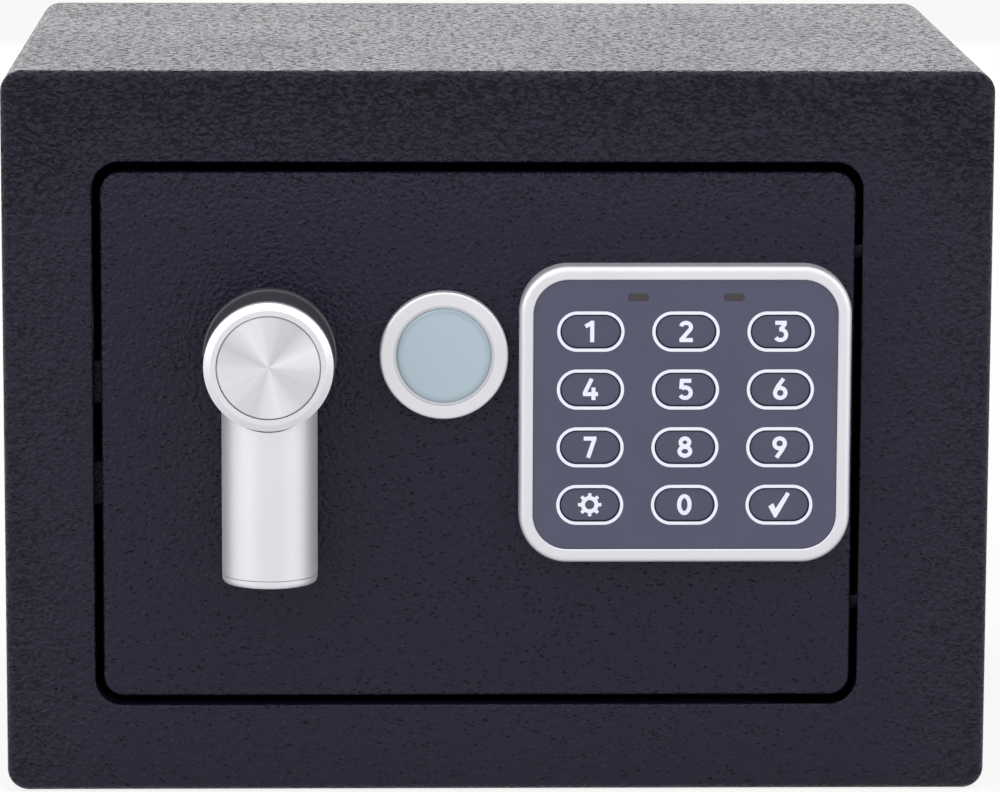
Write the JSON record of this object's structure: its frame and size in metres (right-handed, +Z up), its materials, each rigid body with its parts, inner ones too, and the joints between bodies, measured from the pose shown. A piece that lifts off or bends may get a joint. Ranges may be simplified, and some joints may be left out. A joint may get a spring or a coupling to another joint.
{
  "type": "electronic safe",
  "caption": "Small steel electronic safe: flush hinged door, lever handle driving locking bolts, keypad with pressable keys, and a key override behind a round cap.",
  "frame": {"origin": "middle of the cabinet's base, on the surface that it stands on", "axes": "+X towards the viewer's right, -Y towards the front with the door, +Z up"},
  "size_m": [0.23, 0.1904, 0.17],
  "materials": {
    "powder_coat": "textured powder coat",
    "bare_steel": "zinc plated",
    "brass": "turned",
    "liner_plastic": "satin",
    "satin_silver": "satin plated",
    "badge_blue": "domed gloss",
    "panel_blue": "printed overlay",
    "lamp_window": "smoked",
    "felt": "felt",
    "circuit_green": "solder mask",
    "coil_tape": "tape",
    "cell_wrap": "printed sleeve",
    "wire_red": "insulation"
  },
  "bodies": {
    "cabinet": {"cabinet_wrap": "powder_coat", "front_frame": "powder_coat", "back_panel": "powder_coat", "strike_channel": "bare_steel", "floor_liner": "felt", "hinge_brackets": "bare_steel", "hinge_pins": "bare_steel"},
    "door": {"door_plate": "powder_coat", "door_liner": "liner_plastic", "door_studs": "bare_steel", "liner_screws": "bare_steel", "bolt_guide": "bare_steel", "handle_collar": "liner_plastic", "spindle_bush": "brass", "solenoid_frame": "bare_steel", "solenoid_coil": "coil_tape", "plunger_spring": "bare_steel", "lock_cylinder": "bare_steel", "lock_nut": "bare_steel", "keypad_bezel": "satin_silver", "keypad_panel": "panel_blue", "indicator_windows": "lamp_window", "keypad_base": "liner_plastic", "keypad_board": "circuit_green", "battery_tray": "liner_plastic", "battery_contacts": "bare_steel", "batteries": "cell_wrap", "control_board": "circuit_green", "sounder": "liner_plastic", "wiring": "wire_red", "hinge_arms": "bare_steel"},
    "handle": {"handle_hub": "liner_plastic", "handle_rim": "satin_silver", "handle_disc": "satin_silver", "handle_lever": "satin_silver", "lever_end_cap": "satin_silver", "handle_spindle": "bare_steel", "crank": "bare_steel"},
    "bolt_work": {"bolt_carrier": "bare_steel", "locking_bolt_lower": "bare_steel", "locking_bolt_upper": "bare_steel"},
    "plunger": {"plunger": "bare_steel"},
    "override": {"lock_plug": "brass", "lock_cam": "bare_steel"},
    "badge": {"badge_cap": "satin_silver", "badge_label": "badge_blue"},
    "battery_lid": {"battery_lid": "liner_plastic"},
    "reset_button": {"reset_button": "wire_red"},
    "key_1": {"key_1": "panel_blue"},
    "key_2": {"key_2": "panel_blue"},
    "key_3": {"key_3": "panel_blue"},
    "key_4": {"key_4": "panel_blue"},
    "key_5": {"key_5": "panel_blue"},
    "key_6": {"key_6": "panel_blue"},
    "key_7": {"key_7": "panel_blue"},
    "key_8": {"key_8": "panel_blue"},
    "key_9": {"key_9": "panel_blue"},
    "key_settings": {"key_settings": "panel_blue"},
    "key_0": {"key_0": "panel_blue"},
    "key_enter": {"key_enter": "panel_blue"}
  },
  "joints": [
    {"name": "door_swing", "type": "hinge", "parent": "cabinet", "child": "door", "pos_m": [0.0931, -0.0798, 0.0846], "axis": [0, 0, 1], "range_deg": [0, 100]},
    {"name": "handle_turn", "type": "hinge", "parent": "door", "child": "handle", "pos_m": [-0.053, -0.0845, 0.104], "axis": [0, 1, 0], "range_deg": [0, 90]},
    {"name": "bolt_throw", "type": "slide", "parent": "door", "child": "bolt_work", "axis": [-1, 0, 0], "range_m": [0, 0.014]},
    {"name": "plunger_travel", "type": "slide", "parent": "door", "child": "plunger", "axis": [0, 0, 1], "range_m": [0, 0.005], "deforming": ["plunger_spring"]},
    {"name": "override_turn", "type": "hinge", "parent": "door", "child": "override", "pos_m": [-0.0126, -0.0845, 0.104], "axis": [0, 1, 0], "range_deg": [-90, 0]},
    {"name": "badge_pull", "type": "slide", "parent": "door", "child": "badge", "axis": [0, -1, 0], "range_m": [0, 0.02]},
    {"name": "battery_lid_lift", "type": "slide", "parent": "door", "child": "battery_lid", "axis": [0, 1, 0], "range_m": [0, 0.015]},
    {"name": "reset_press", "type": "slide", "parent": "door", "child": "reset_button", "axis": [0, -1, 0], "range_m": [0, 0.0015], "stiffness_N_per_m": 400, "springref_m": -0.001},
    {"name": "key_1_press", "type": "slide", "parent": "door", "child": "key_1", "axis": [0, 1, 0], "range_m": [0, 0.0006], "stiffness_N_per_m": 800, "springref_m": -0.001},
    {"name": "key_2_press", "type": "slide", "parent": "door", "child": "key_2", "axis": [0, 1, 0], "range_m": [0, 0.0006], "stiffness_N_per_m": 800, "springref_m": -0.001},
    {"name": "key_3_press", "type": "slide", "parent": "door", "child": "key_3", "axis": [0, 1, 0], "range_m": [0, 0.0006], "stiffness_N_per_m": 800, "springref_m": -0.001},
    {"name": "key_4_press", "type": "slide", "parent": "door", "child": "key_4", "axis": [0, 1, 0], "range_m": [0, 0.0006], "stiffness_N_per_m": 800, "springref_m": -0.001},
    {"name": "key_5_press", "type": "slide", "parent": "door", "child": "key_5", "axis": [0, 1, 0], "range_m": [0, 0.0006], "stiffness_N_per_m": 800, "springref_m": -0.001},
    {"name": "key_6_press", "type": "slide", "parent": "door", "child": "key_6", "axis": [0, 1, 0], "range_m": [0, 0.0006], "stiffness_N_per_m": 800, "springref_m": -0.001},
    {"name": "key_7_press", "type": "slide", "parent": "door", "child": "key_7", "axis": [0, 1, 0], "range_m": [0, 0.0006], "stiffness_N_per_m": 800, "springref_m": -0.001},
    {"name": "key_8_press", "type": "slide", "parent": "door", "child": "key_8", "axis": [0, 1, 0], "range_m": [0, 0.0006], "stiffness_N_per_m": 800, "springref_m": -0.001},
    {"name": "key_9_press", "type": "slide", "parent": "door", "child": "key_9", "axis": [0, 1, 0], "range_m": [0, 0.0006], "stiffness_N_per_m": 800, "springref_m": -0.001},
    {"name": "key_settings_press", "type": "slide", "parent": "door", "child": "key_settings", "axis": [0, 1, 0], "range_m": [0, 0.0006], "stiffness_N_per_m": 800, "springref_m": -0.001},
    {"name": "key_0_press", "type": "slide", "parent": "door", "child": "key_0", "axis": [0, 1, 0], "range_m": [0, 0.0006], "stiffness_N_per_m": 800, "springref_m": -0.001},
    {"name": "key_enter_press", "type": "slide", "parent": "door", "child": "key_enter", "axis": [0, 1, 0], "range_m": [0, 0.0006], "stiffness_N_per_m": 800, "springref_m": -0.001}
  ],
  "couplings": [
    {"joint": "bolt_throw", "follows": "handle_turn", "m_per_rad": 0.0089127}
  ]
}
